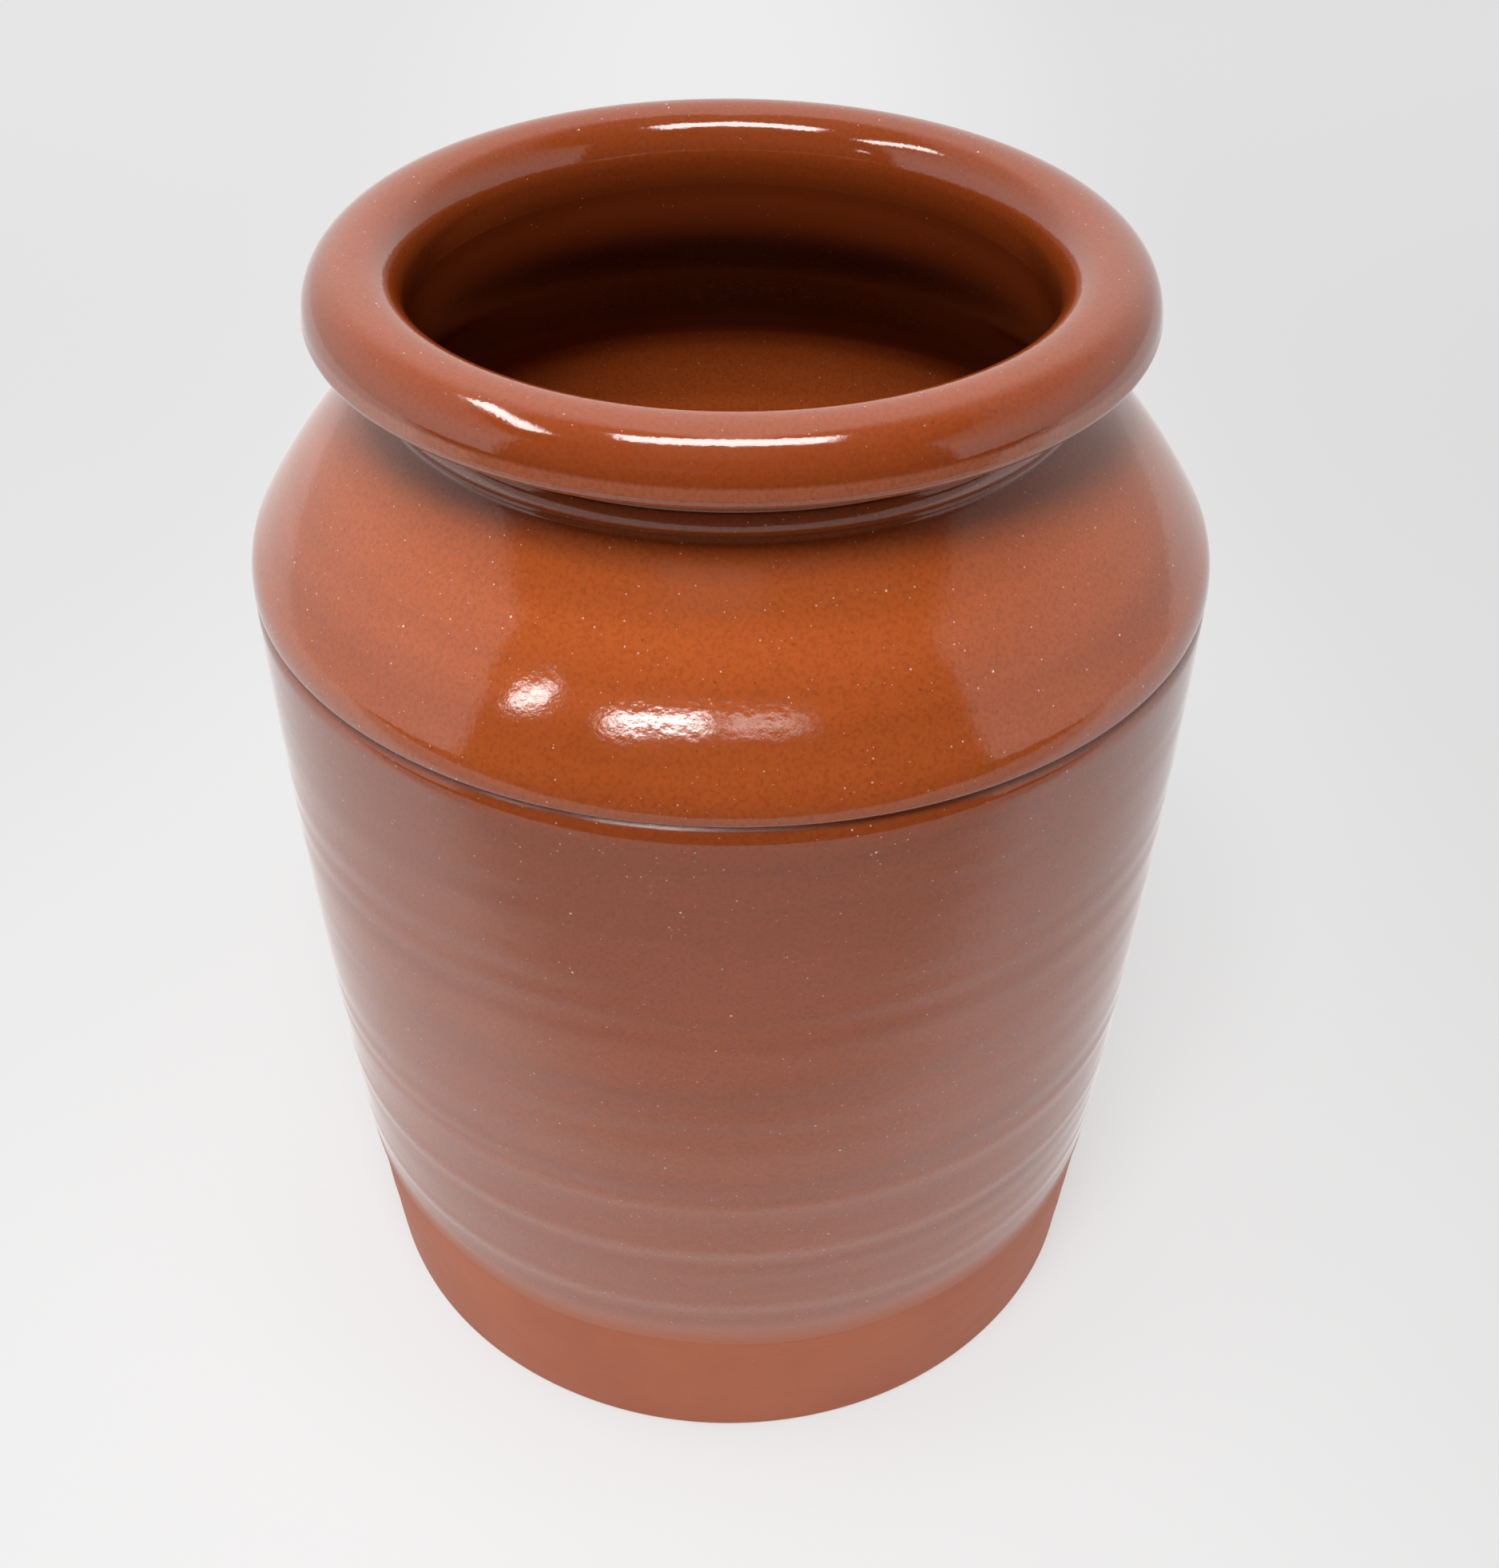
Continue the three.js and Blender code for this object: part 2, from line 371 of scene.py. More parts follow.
def drop_loose_points(mesh):
    """Removes the points that no face uses, which are the copies of a point on the axis."""
    work = bmesh.new()
    work.from_mesh(mesh)
    loose = [vert for vert in work.verts if not vert.link_faces]
    bmesh.ops.delete(work, geom=loose, context="VERTS")
    work.to_mesh(mesh)
    work.free()


def add_piece(name, mesh, material, solid):
    """Adds a piece of the jar under the root, and hides the solid of the frame whose place it takes."""
    drop_loose_points(mesh)
    piece = bpy.data.objects.new(name, mesh)
    bpy.context.scene.collection.objects.link(piece)
    mesh.materials.append(material)
    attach(piece, "root")
    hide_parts(solid)


# Throwing rings on the body, which fade out under the groove; their spacing drifts, and they come and go
RING_PITCH = 8.2
RING_DEPTH = 0.11
RING_FADE = 12.0
RING_DRIFT = 0.8
RING_DRIFT_PITCHES = 2.7
RING_LEAST = 0.1
RING_WAVES = Waves(seed=23, count=16, lengths=(18, 70), most_turns=3)

# Sharper ridges low on the body, each swaying in its own way
Ridge = namedtuple("Ridge", "height rise seed")
RIDGES = [
    Ridge(height=70.7, rise=0.11, seed=70),
    Ridge(height=57.8, rise=0.14, seed=57),
    Ridge(height=41.3, rise=0.15, seed=41),
]
RIDGE_WIDTH = 1.15
RIDGE_SWAY = 0.8

# Ripples of the dipped coat, and its wavering lower edge, which thins out and is not quite sharp
RIPPLE_HEIGHT = 0.03
RIPPLE_LEAST = 0.01
RIPPLE_WAVES = Waves(seed=5, count=40, lengths=(5, 30), most_turns=14)
EDGE_WAVER = 1.6
EDGE_REACH = 14.0
EDGE_WAVES = Waves(seed=11, count=9, lengths=(40, 90), most_turns=9)
FEATHER_START = -0.05
FEATHER_END = 2.6

# Marks of both coats fade out at their seam inside the neck
SEAM_FADE = 8.0

# Bead of glaze that hangs on the roll's lower edge, a painted reflection that makes the lip round it paler,
# and the dull cut of the groove
BEAD_RISE = 0.55
BEAD_DROP = 1.1
BEAD_WIDTH = 0.9
LIP_DROP = 2.0
LIP_RISE = 1.5
LIP_LOW_SOFT = 0.6
LIP_HIGH_SOFT = 0.4
LIP_PAINTED_REFLECTION = 0.9
SCRATCH_WIDTH = 1.0

# Rings inside, which start below the throat, and ripples; both calm down towards the middle of the floor
INNER_RING_PITCH = 12.0
INNER_RING_DEPTH = 0.24
INNER_RING_START = 25.0
INNER_RING_FULL = 60.0
INNER_RIPPLE_HEIGHT = 0.04
INNER_WAVES = Waves(seed=7, count=30, lengths=(6, 40), most_turns=10)
CALM_RADIUS = 4.0
RINGED_RADIUS = 20.0

# The lining ends nowhere in sight, so all of it counts as far from an edge
FAR_FROM_EDGE = 100.0

# Ripples of the bare foot, and the marks that the cutting wire dragged across the underside
FOOT_RIPPLE_HEIGHT = 0.12
FOOT_WAVES = Waves(seed=3, count=30, lengths=(3, 14), most_turns=10)
DRAG_DEPTH = 0.25
DRAG_PITCH = 6.5
DRAG_BEND = 0.004
DRAG_FADE_START = 8.0
DRAG_FADE_END = 1.0

# How the coats are painted with light and shade, as a tone: less than 0 painted light, 0.5 darker, 1 pooled
# glaze and painted shade, 1.5 deep painted shade. Painted shade falls on the top of the body, in the neck's
# crease where glaze also pools, down into the mouth, in the throat and under the shoulder; painted light
# falls high on the shoulder under the rim, on the crest and on the lit wall inside; the roll is darker.
BODY_PAINTED_SHADE = 0.25
BODY_SHADE_LOW = 85.0
BODY_SHADE_HIGH = 150.0
SHOULDER_PAINTED_LIGHT = 0.5
SHOULDER_LIGHT_RISE = 8.0
SHOULDER_LIGHT_DROP = 1.0
NECK_POOL_AND_SHADE = 0.25
NECK_SOFT = 0.6
NECK_SHADE_DROP = 1.0
ROLL_DARKER = 0.5
CREST_PAINTED_LIGHT = 0.16
CREST_LIGHT_RISE = 4.0
MOUTH_PAINTED_SHADE = 0.35
THROAT_PAINTED_SHADE = 0.95
THROAT_SOFT = 10.0
SHADE_DEEP = 0.5
SHADE_DROP = 4.0
SHADE_SOFT = 10.0
INNER_WALL_PAINTED_LIGHT = 0.35


def throwing_rings(along, pitch, depth):
    """Fall of the surface below its highest, left by a finger that climbs one pitch with each turn."""
    climb = 2 * math.pi * along[:, None] / pitch
    drift = RING_DRIFT * np.sin(climb / RING_DRIFT_PITCHES)
    return depth * (0.5 - 0.5 * np.cos(climb - ANGLES + drift))


def ridge_shape(ridge, heights):
    """1 along the crest of a ridge, which sways up and down round the jar, and 0 away from it."""
    kind = Waves(seed=ridge.seed, count=5, lengths=(50, 90), most_turns=2)
    return bell(heights[:, None], ridge.height + sway(kind, RIDGE_SWAY), RIDGE_WIDTH)


def dipped_fall(face, ridge_shapes):
    """Fall of the coat below its even thickness: rings and ripples, less the ridges that stand up."""
    on_body = 1 - smooth(face.points[:, 1], BODY_HIGH[1] - RING_FADE, BODY_HIGH[1])[:, None]
    strength = np.clip(waves(RING_WAVES, 1.0, face.along), RING_LEAST, 1)
    fall = throwing_rings(face.along, RING_PITCH, RING_DEPTH) * on_body * strength
    for ridge, shape in zip(RIDGES, ridge_shapes):
        fall = fall - ridge.rise * shape
    fall = fall + np.maximum(waves(RIPPLE_WAVES, RIPPLE_HEIGHT, face.along), RIPPLE_LEAST)
    return fall * smooth(face.along[-1] - face.along, 0, SEAM_FADE)[:, None]


def dipped_light_and_shade(heights):
    """Painted light and shade of the dipped coat: painted light high on the shoulder and on the crest,
    painted shade on the top of the body, in the neck's crease and down into the mouth, and a darker roll.
    """
    in_mouth = (np.arange(len(heights)) > np.argmax(heights)) & (heights < ROLL_MIDDLE)
    # Painted shade in the crease of the neck, where glaze also pools
    neck = smooth(heights, CORDON_BOTTOM - NECK_SOFT, CORDON_BOTTOM + NECK_SOFT)
    neck = neck * (1 - smooth(heights, ROLL_BOTTOM, ROLL_MIDDLE - NECK_SHADE_DROP))
    rim = ROLL_DARKER * smooth(heights, CORDON_BOTTOM, ROLL_MIDDLE) + NECK_POOL_AND_SHADE * neck
    # Painted shade that grows down into the mouth, below the darker roll
    mouth = ROLL_DARKER + MOUTH_PAINTED_SHADE * smooth(ROLL_MIDDLE - heights, 0, ROLL_MIDDLE - SEAM_HEIGHT)
    depth = np.where(in_mouth, mouth, rim)
    # Painted light on the crest
    depth = depth - CREST_PAINTED_LIGHT * smooth(heights, ROLL_MIDDLE + CREST_LIGHT_RISE, RIM_TOP)
    # Painted shade on the top of the body
    body = BODY_PAINTED_SHADE * smooth(heights, BODY_SHADE_LOW, BODY_SHADE_HIGH)
    depth = np.where(heights < GROOVE_HEIGHT, body, depth)
    # Painted light high on the shoulder, up to the neck under the rim
    shoulder = smooth(heights, SHOULDER_START + SHOULDER_LIGHT_RISE, CORDON_BOTTOM - SHOULDER_LIGHT_DROP)
    return depth - SHOULDER_PAINTED_LIGHT * shoulder * (heights < CORDON_BOTTOM)


def poured_light_and_shade(heights):
    """Painted light and shade of the poured coat: painted light on the lit wall, and painted shade in the
    throat and under the shoulder.
    """
    # Painted shade in the throat and under the shoulder, and painted light on the lit wall below them
    upper = smooth(heights, SHOULDER_START - THROAT_SOFT, SHOULDER_START + THROAT_SOFT)
    shade = smooth(SEAM_HEIGHT - SHADE_DROP - heights, 0, SHADE_SOFT)
    return (THROAT_PAINTED_SHADE + SHADE_DEEP * shade) * upper - INNER_WALL_PAINTED_LIGHT * (1 - upper)


def dipped_glaze_mesh():
    """Coat of the outside and the rim, with the numbers that its material reads."""
    face = Outline(dipped_outline(FINE, ROLL_FINE))
    under = Outline(dipped_outline(COARSE, ROLL_COARSE))
    heights = face.points[:, 1]
    outside = np.arange(len(heights)) < np.argmax(heights)
    ridge_shapes = [ridge_shape(ridge, heights) for ridge in RIDGES]
    bead = BEAD_RISE * bell(heights, ROLL_MIDDLE - BEAD_DROP, BEAD_WIDTH) * outside
    thickness = GLAZE_THICKNESS - dipped_fall(face, ridge_shapes) + bead[:, None]
    thickness = thickness * np.sqrt(smooth(face.along, FEATHER_START, FEATHER_END))[:, None]
    waver = sway(EDGE_WAVES, EDGE_WAVER)
    face_slide = waver * (1 - smooth(face.along, 0, EDGE_REACH)[:, None])
    under_slide = waver * (1 - smooth(under.along, 0, EDGE_REACH)[:, None])
    front = face.rows(BOND_GAP + thickness, face_slide)
    back = under.rows(BOND_GAP, under_slide)[::-1]
    mesh = turned_mesh("dipped_glaze", np.concatenate((front, back)), closed=True)
    # Painted reflection of the floor: a paler band on the lip round the roll's lower edge
    lip = smooth(heights, ROLL_MIDDLE - LIP_DROP, ROLL_MIDDLE - LIP_DROP + LIP_LOW_SOFT) * outside
    lip = lip * (1 - smooth(heights, ROLL_MIDDLE + LIP_RISE - LIP_HIGH_SOFT, ROLL_MIDDLE + LIP_RISE))
    kept_values = {
        "from_edge": face.along,
        "hollow": np.clip(face.hollow, -1, 1),
        # Paler ridges, and the painted reflection on the lip
        "ridge": sum(ridge_shapes) + LIP_PAINTED_REFLECTION * lip[:, None],
        # Painted light and shade, kept for the material
        "depth": dipped_light_and_shade(heights),
        "scratch": bell(heights, GROOVE_HEIGHT, SCRATCH_WIDTH),
    }
    for name, values in kept_values.items():
        paint(mesh, name, np.concatenate((round_jar(values), np.zeros(back.shape[:2]))))
    return mesh


def poured_glaze_mesh():
    """Coat that lines the inside, with the numbers that its material reads."""
    face = Outline(poured_outline(INNER_FINE))
    under = Outline(poured_outline(COARSE))
    radii, heights = face.points.T
    fall = throwing_rings(face.along, INNER_RING_PITCH, INNER_RING_DEPTH)
    fall = fall * smooth(face.along, INNER_RING_START, INNER_RING_FULL)[:, None]
    fall = fall + waves(INNER_WAVES, INNER_RIPPLE_HEIGHT, face.along)
    fall = fall * smooth(radii, CALM_RADIUS, RINGED_RADIUS)[:, None]
    fall = fall * smooth(face.along, 0, SEAM_FADE)[:, None]
    front = face.rows(BOND_GAP + GLAZE_THICKNESS - fall)
    back = under.rows(BOND_GAP)[::-1]
    mesh = turned_mesh("poured_glaze", np.concatenate((back, front)))
    paint(mesh, "from_edge", np.full((len(back) + len(front), SEGMENTS), FAR_FROM_EDGE))
    kept_values = {
        "hollow": np.clip(face.hollow, -1, 1),
        # Painted light and shade, kept for the material
        "depth": poured_light_and_shade(heights),
    }
    for name, values in kept_values.items():
        paint(mesh, name, np.concatenate((np.zeros(back.shape[:2]), round_jar(values))))
    return mesh


def thrown_clay_mesh():
    """Clay with a rippled foot and a wire-cut underside, plain where a coat hides it."""
    bare = bare_outline(FINE)
    outline = Outline(chain(bare, dipped_outline(COARSE, ROLL_COARSE), poured_outline(COARSE)))
    radii = outline.points[:, 0]
    is_bare = np.arange(len(radii)) < len(bare)
    foot = is_bare * smooth(radii, FOOT_RADIUS - FOOT_ROUND, FOOT_RADIUS)
    base_edge = FOOT_RADIUS - FOOT_ROUND - DRAG_FADE_END
    base = is_bare * (1 - smooth(radii, FOOT_RADIUS - DRAG_FADE_START, base_edge))
    across = radii[:, None] * np.cos(ANGLES)
    along = radii[:, None] * np.sin(ANGLES)
    drag = 0.5 + 0.5 * np.cos(2 * math.pi * (across + DRAG_BEND * along**2) / DRAG_PITCH)
    fall = waves(FOOT_WAVES, FOOT_RIPPLE_HEIGHT, outline.along) * foot[:, None]
    fall = fall + DRAG_DEPTH * drag * base[:, None]
    return turned_mesh("thrown_clay", outline.rows(-fall))


def fill(tree, socket, value):
    """Sets an input to a number or colour, or links it to another node's output."""
    if isinstance(value, bpy.types.NodeSocket):
        tree.links.new(value, socket)
    else:
        socket.default_value = value


def node(tree, kind, inputs=None, **settings):
    """A shader node with its settings made and its inputs filled."""
    made = tree.nodes.new(kind)
    for name, value in settings.items():
        setattr(made, name, value)
    for name, value in (inputs or {}).items():
        fill(tree, made.inputs[name], value)
    return made


def calc(tree, operation, *values):
    """Result of one sum on numbers or outputs."""
    inputs = dict(enumerate(values))
    return node(tree, "ShaderNodeMath", inputs, operation=operation).outputs[0]


def remap(tree, value, low, high, start=0.0, end=1.0):
    """Value from low to high turned smoothly into start to end, and held there outside."""
    inputs = {"Value": value, "From Min": low, "From Max": high, "To Min": start, "To Max": end}
    return node(tree, "ShaderNodeMapRange", inputs, interpolation_type="SMOOTHSTEP").outputs["Result"]


def mix(tree, share, first, second):
    """Colour that goes from the first to the second as the share goes from 0 to 1."""
    made = node(tree, "ShaderNodeMix", data_type="RGBA")
    sockets = {socket.identifier: socket for socket in [*made.inputs, *made.outputs]}
    fill(tree, sockets["Factor_Float"], share)
    fill(tree, sockets["A_Color"], first)
    fill(tree, sockets["B_Color"], second)
    return sockets["Result_Color"]


# Noise, layers of colour that a value brings on, and specks, which fade out from their core to their edge
Noise = namedtuple("Noise", "scale detail roughness stretch", defaults=[(1, 1, 1)])
Layer = namedtuple("Layer", "start end most color")
Specks = namedtuple("Specks", "spacing size share strength color")
SPECK_CORE = 0.3
SPECK_EDGE = 0.6


def noise(tree, place, kind):
    """Noise from 0 to 1 whose spots are about 1/scale metres wide, squeezed along the axes."""
    moved = node(tree, "ShaderNodeMapping", {"Vector": place, "Scale": kind.stretch}).outputs["Vector"]
    inputs = {"Vector": moved, "Scale": kind.scale, "Detail": kind.detail, "Roughness": kind.roughness}
    return node(tree, "ShaderNodeTexNoise", inputs).outputs["Fac"]


def lay(tree, color, value, layer):
    """Colour under a layer whose share grows from nothing to its most as a value goes from start to end."""
    share = remap(tree, value, layer.start, layer.end, 0, layer.most)
    return mix(tree, share, color, layer.color)


def specks(tree, place, kind):
    """1 in the middle of small round spots and 0 outside them; a share of the places has a spot."""
    cells = node(tree, "ShaderNodeTexVoronoi", {"Vector": place, "Scale": 1 / kind.spacing})
    size = kind.size / kind.spacing
    near = remap(tree, cells.outputs["Distance"], size * SPECK_CORE, size * SPECK_EDGE, 1, 0)
    draw = node(tree, "ShaderNodeSeparateColor", {"Color": cells.outputs["Color"]}).outputs["Red"]
    return calc(tree, "MULTIPLY", near, calc(tree, "LESS_THAN", draw, kind.share))


def speckle(tree, color, spots, kind, clear=1.0):
    """Colour with specks on it, which are as strong as their kind and as a given share; painted glints get
    a smaller share in the painted shade.
    """
    share = calc(tree, "MULTIPLY", calc(tree, "MULTIPLY", spots, clear), kind.strength)
    return mix(tree, share, color, kind.color)


def bump(tree, height, distance, before=None):
    """Normal tilted by a height from 0 to 1 that stands for a distance in metres."""
    inputs = {"Height": height, "Distance": distance, "Strength": 1.0}
    if before is not None:
        inputs["Normal"] = before
    return node(tree, "ShaderNodeBump", inputs).outputs["Normal"]


def new_material(name):
    material = bpy.data.materials.new(name)
    material.use_nodes = True
    material.node_tree.nodes.clear()
    return material, material.node_tree


def finish_material(tree, inputs):
    shader = node(tree, "ShaderNodeBsdfPrincipled", inputs)
    node(tree, "ShaderNodeOutputMaterial", {"Surface": shader.outputs["BSDF"]})


def own_place(tree):
    return node(tree, "ShaderNodeTexCoord").outputs["Object"]


def kept(tree, name):
    """Number that a mesh keeps at each of its points."""
    return node(tree, "ShaderNodeAttribute", attribute_name=name).outputs["Fac"]


# Colours of the glaze, from painted light to pooled glaze and painted shade, and of the bare clay
GLAZE_PAINTED_LIGHT = (0.56, 0.118, 0.022, 1)
GLAZE_LIGHT = (0.42, 0.086, 0.018, 1)
GLAZE_AMBER = (0.38, 0.074, 0.014, 1)
GLAZE_DEEP = (0.24, 0.043, 0.008, 1)
GLAZE_POOL = (0.11, 0.018, 0.0036, 1)
GLAZE_PAINTED_SHADE = (0.03, 0.006, 0.004, 1)
# Paler colour of the ridges and of the painted reflection on the lip
PALE_RIDGE_AND_LIP_REFLECTION = (0.52, 0.19, 0.11, 1)
# Colour of the painted glints on pale specks and pinholes
SPECK_GLINT = (0.85, 0.62, 0.52, 1)
CLAY_PALE = (0.60, 0.165, 0.072, 1)
CLAY_MIDDLE = (0.555, 0.146, 0.062, 1)
CLAY_DEEP = (0.515, 0.132, 0.055, 1)
CLAY_LINE = (0.50, 0.16, 0.088, 1)
CLAY_GRAIN = (0.46, 0.145, 0.08, 1)
CLAY_SPECK = (0.75, 0.45, 0.33, 1)

# Noise in the glaze, and the layers of colour that noise, painted light and shade, and hollows bring, in
# their order
TONE = Noise(scale=22, detail=4, roughness=0.6, stretch=(1, 1, 2.5))
BANDS = Noise(scale=40, detail=3, roughness=0.5, stretch=(0.12, 0.12, 4))
SAND = Noise(scale=1500, detail=4, roughness=0.7)
PEEL = Noise(scale=800, detail=2, roughness=0.5, stretch=(1, 1, 1.2))
RIPPLE = Noise(scale=130, detail=2, roughness=0.5, stretch=(0.6, 0.6, 2))
TONE_LAYER = Layer(start=0.3, end=0.75, most=1, color=GLAZE_LIGHT)
BAND_LAYER = Layer(start=0.42, end=0.72, most=0.32, color=GLAZE_DEEP)
# Layers that the painted light and shade bring: painted light, a darker tone, pooled glaze with painted
# shade, and deep painted shade
LIGHT_AND_SHADE_LAYERS = [
    Layer(start=0, end=-0.5, most=0.45, color=GLAZE_PAINTED_LIGHT),
    Layer(start=0, end=0.5, most=1, color=GLAZE_DEEP),
    Layer(start=0.5, end=1, most=0.9, color=GLAZE_POOL),
    Layer(start=1, end=1.5, most=0.8, color=GLAZE_PAINTED_SHADE),
]
HOLLOW_LAYER = Layer(start=0.05, end=0.5, most=0.35, color=GLAZE_POOL)
RIDGE_SHARE = 0.4
SAND_LAYER = Layer(start=0.42, end=0.66, most=0.29, color=GLAZE_POOL)

# Specks and pinholes in the glaze: dark specks, and pale specks and pinholes whose paleness is a painted
# glint, which shows less where the painted shade and darker tone grow
DARK_SPECKS = Specks(spacing=0.0026, size=0.0004, share=0.5, strength=0.45, color=GLAZE_POOL)
FINE_SPECKS = Specks(spacing=0.0013, size=0.0002, share=0.5, strength=0.5, color=SPECK_GLINT)
SMALL_SPECKS = Specks(spacing=0.0019, size=0.0003, share=0.5, strength=0.6, color=SPECK_GLINT)
PINHOLES = Specks(spacing=0.0040, size=0.00042, share=0.5, strength=0.85, color=SPECK_GLINT)
GLINTS_FULL_AT = 0.25
GLINTS_FAINT_AT = 0.5
GLINTS_FAINT_SHARE = 0.15

# Surface of the glaze: it thins out to bare clay at its edge, and is duller there, on sand and in the cut
EDGE_THIN = 9.0
EDGE_ROUGH = 0.6
SCRATCH_ROUGH = 0.35
SAND_ROUGH = 0.06
SAND_SMOOTH_AT = 0.3
SAND_ROUGH_AT = 0.8
RIPPLE_BUMP = 0.00004
PEEL_BUMP = 0.000018
SAND_BUMP = 0.000007
PINHOLE_BUMP = 0.00008
GLAZE_INDEX = 1.8


def glaze_material(name, gloss, shine):
    """Clear glossy glaze over red clay: fine sandy tone, soft bands, specks, pinholes and orange peel, with
    painted light and shade, a painted reflection on the lip under the roll and painted glints on pale
    specks and pinholes.
    """
    material, tree = new_material(name)
    place = own_place(tree)
    # Painted light and shade that the coats keep
    depth = kept(tree, "depth")
    sand = noise(tree, place, SAND)
    color = lay(tree, GLAZE_AMBER, noise(tree, place, TONE), TONE_LAYER)
    color = lay(tree, color, noise(tree, place, BANDS), BAND_LAYER)
    for layer in LIGHT_AND_SHADE_LAYERS:
        color = lay(tree, color, depth, layer)
    color = lay(tree, color, kept(tree, "hollow"), HOLLOW_LAYER)
    # Paler along the ridges, and a painted reflection along the lip under the roll
    color = mix(tree, calc(tree, "MULTIPLY", kept(tree, "ridge"), RIDGE_SHARE), color, PALE_RIDGE_AND_LIP_REFLECTION)
    color = lay(tree, color, sand, SAND_LAYER)
    pinholes = specks(tree, place, PINHOLES)
    # Painted glints of pale specks and pinholes fade where the painted shade and darker tone grow
    clear = remap(tree, depth, GLINTS_FULL_AT, GLINTS_FAINT_AT, 1, GLINTS_FAINT_SHARE)
    color = speckle(tree, color, specks(tree, place, DARK_SPECKS), DARK_SPECKS)
    color = speckle(tree, color, specks(tree, place, FINE_SPECKS), FINE_SPECKS, clear)
    color = speckle(tree, color, specks(tree, place, SMALL_SPECKS), SMALL_SPECKS, clear)
    color = speckle(tree, color, pinholes, PINHOLES, clear)
    edge = remap(tree, kept(tree, "from_edge"), 0, EDGE_THIN, 1, 0)
    color = mix(tree, edge, color, CLAY_MIDDLE)
    roughness = remap(tree, sand, SAND_SMOOTH_AT, SAND_ROUGH_AT, gloss, gloss + SAND_ROUGH)
    roughness = calc(tree, "MULTIPLY_ADD", edge, EDGE_ROUGH, roughness)
    roughness = calc(tree, "MULTIPLY_ADD", kept(tree, "scratch"), SCRATCH_ROUGH, roughness)
    normal = bump(tree, noise(tree, place, RIPPLE), RIPPLE_BUMP)
    normal = bump(tree, noise(tree, place, PEEL), PEEL_BUMP, normal)
    normal = bump(tree, sand, SAND_BUMP, normal)
    normal = bump(tree, calc(tree, "SUBTRACT", 1, pinholes), PINHOLE_BUMP, normal)
    finish_material(tree, {
        "Base Color": color,
        "Roughness": roughness,
        "IOR": GLAZE_INDEX,
        "Specular IOR Level": shine,
        "Normal": normal,
    })
    return material


# Bare clay: uneven tone, turning lines, grain and a few pale specks
BARE_TONE = Noise(scale=30, detail=5, roughness=0.6)
BARE_GRAIN = Noise(scale=2200, detail=3, roughness=0.7)
BARE_LINES = Noise(scale=300, detail=3, roughness=0.6, stretch=(0.03, 0.03, 4))
BARE_TONE_LAYER = Layer(start=0.3, end=0.7, most=1, color=CLAY_PALE)
BARE_LINE_LAYER = Layer(start=0.4, end=0.7, most=0.3, color=CLAY_LINE)
BARE_GRAIN_LAYER = Layer(start=0.55, end=0.8, most=0.4, color=CLAY_GRAIN)
BARE_SPECKS = Specks(spacing=0.004, size=0.0005, share=0.15, strength=0.5, color=CLAY_SPECK)
BARE_LINE_BUMP = 0.00008
BARE_GRAIN_BUMP = 0.00003
BARE_ROUGHNESS = 0.6
BARE_INDEX = 1.5
BARE_SHINE = 0.42


def clay_material():
    """Matte fired clay with grain, fine turning lines and a few pale specks."""
    material, tree = new_material("bare_clay")
    place = own_place(tree)
    grain = noise(tree, place, BARE_GRAIN)
    lines = noise(tree, place, BARE_LINES)
    color = lay(tree, CLAY_DEEP, noise(tree, place, BARE_TONE), BARE_TONE_LAYER)
    color = lay(tree, color, lines, BARE_LINE_LAYER)
    color = lay(tree, color, grain, BARE_GRAIN_LAYER)
    color = speckle(tree, color, specks(tree, place, BARE_SPECKS), BARE_SPECKS)
    normal = bump(tree, lines, BARE_LINE_BUMP)
    normal = bump(tree, grain, BARE_GRAIN_BUMP, normal)
    finish_material(tree, {
        "Base Color": color,
        "Roughness": BARE_ROUGHNESS,
        "IOR": BARE_INDEX,
        "Specular IOR Level": BARE_SHINE,
        "Normal": normal,
    })
    return material


clay = clay_material()
outer = glaze_material("outer_glaze", gloss=0.05, shine=0.5)
inner = glaze_material("inner_glaze", gloss=0.15, shine=0.08)
add_piece("thrown_clay", thrown_clay_mesh(), clay, solid="clay_body")
add_piece("dipped_glaze", dipped_glaze_mesh(), outer, solid="outer_glaze")
add_piece("poured_glaze", poured_glaze_mesh(), inner, solid="inner_glaze")

# Studio by direction, in degrees: pale walls at the sides and the back, and a dim room in front and above
OPENING_MIDDLE = -1.5
OPENING_HALF = 58.0
OPENING_SOFT = 1.5
SIDE_TOP = 38.0
SIDE_TOP_RISE = 0.2
SIDE_TOP_CURVE = 0.0032
TOP_SOFT = 2.5
TOP_SOFT_RISE = 0.07
ROOM_LOW = 0.03
ROOM_HIGH = 0.15
ROOM_LOW_AT = 40.0
ROOM_HIGH_AT = 85.0
SIDE_LOW = 0.67
SIDE_HIGH = 0.36
SIDE_LOW_AT = 15.0
SIDE_HIGH_AT = 48.0
SIDE_SKEW = 0.09
BACK_LIGHT = 0.92
BACK_START = 125.0
BACK_END = 155.0
BACKDROP = 0.9
WHITE = (1, 1, 1, 1)

# Paper floor: its white to the camera, darker to the sides, with painted shade to the right and brighter to
# the back, and in mirror rays a painted fall of light, dimmer towards the front and the right
FLOOR_SIZE = 4.0
FLOOR_COLOR = (0.80, 0.80, 0.80, 1)
FLOOR_SHARE = 0.62
FLOOR_WHITE = 0.92
FLOOR_SIDE_WHITE = 0.84
FLOOR_SIDE_START = 0.03
FLOOR_SIDE_END = 0.22
FLOOR_RIGHT_SHADE = 0.06
FLOOR_RIGHT_END = 0.2
FLOOR_FAR_WHITE = 0.18
FLOOR_FAR_START = 0.1
FLOOR_FAR_END = 0.8
FLOOR_FADE_START = 1.0
FLOOR_FADE_END = 3.0
FLOOR_MIRROR_DIM = 0.54
FLOOR_MIRROR_DIM_AT = -0.18
FLOOR_WHITE_AT = -0.09
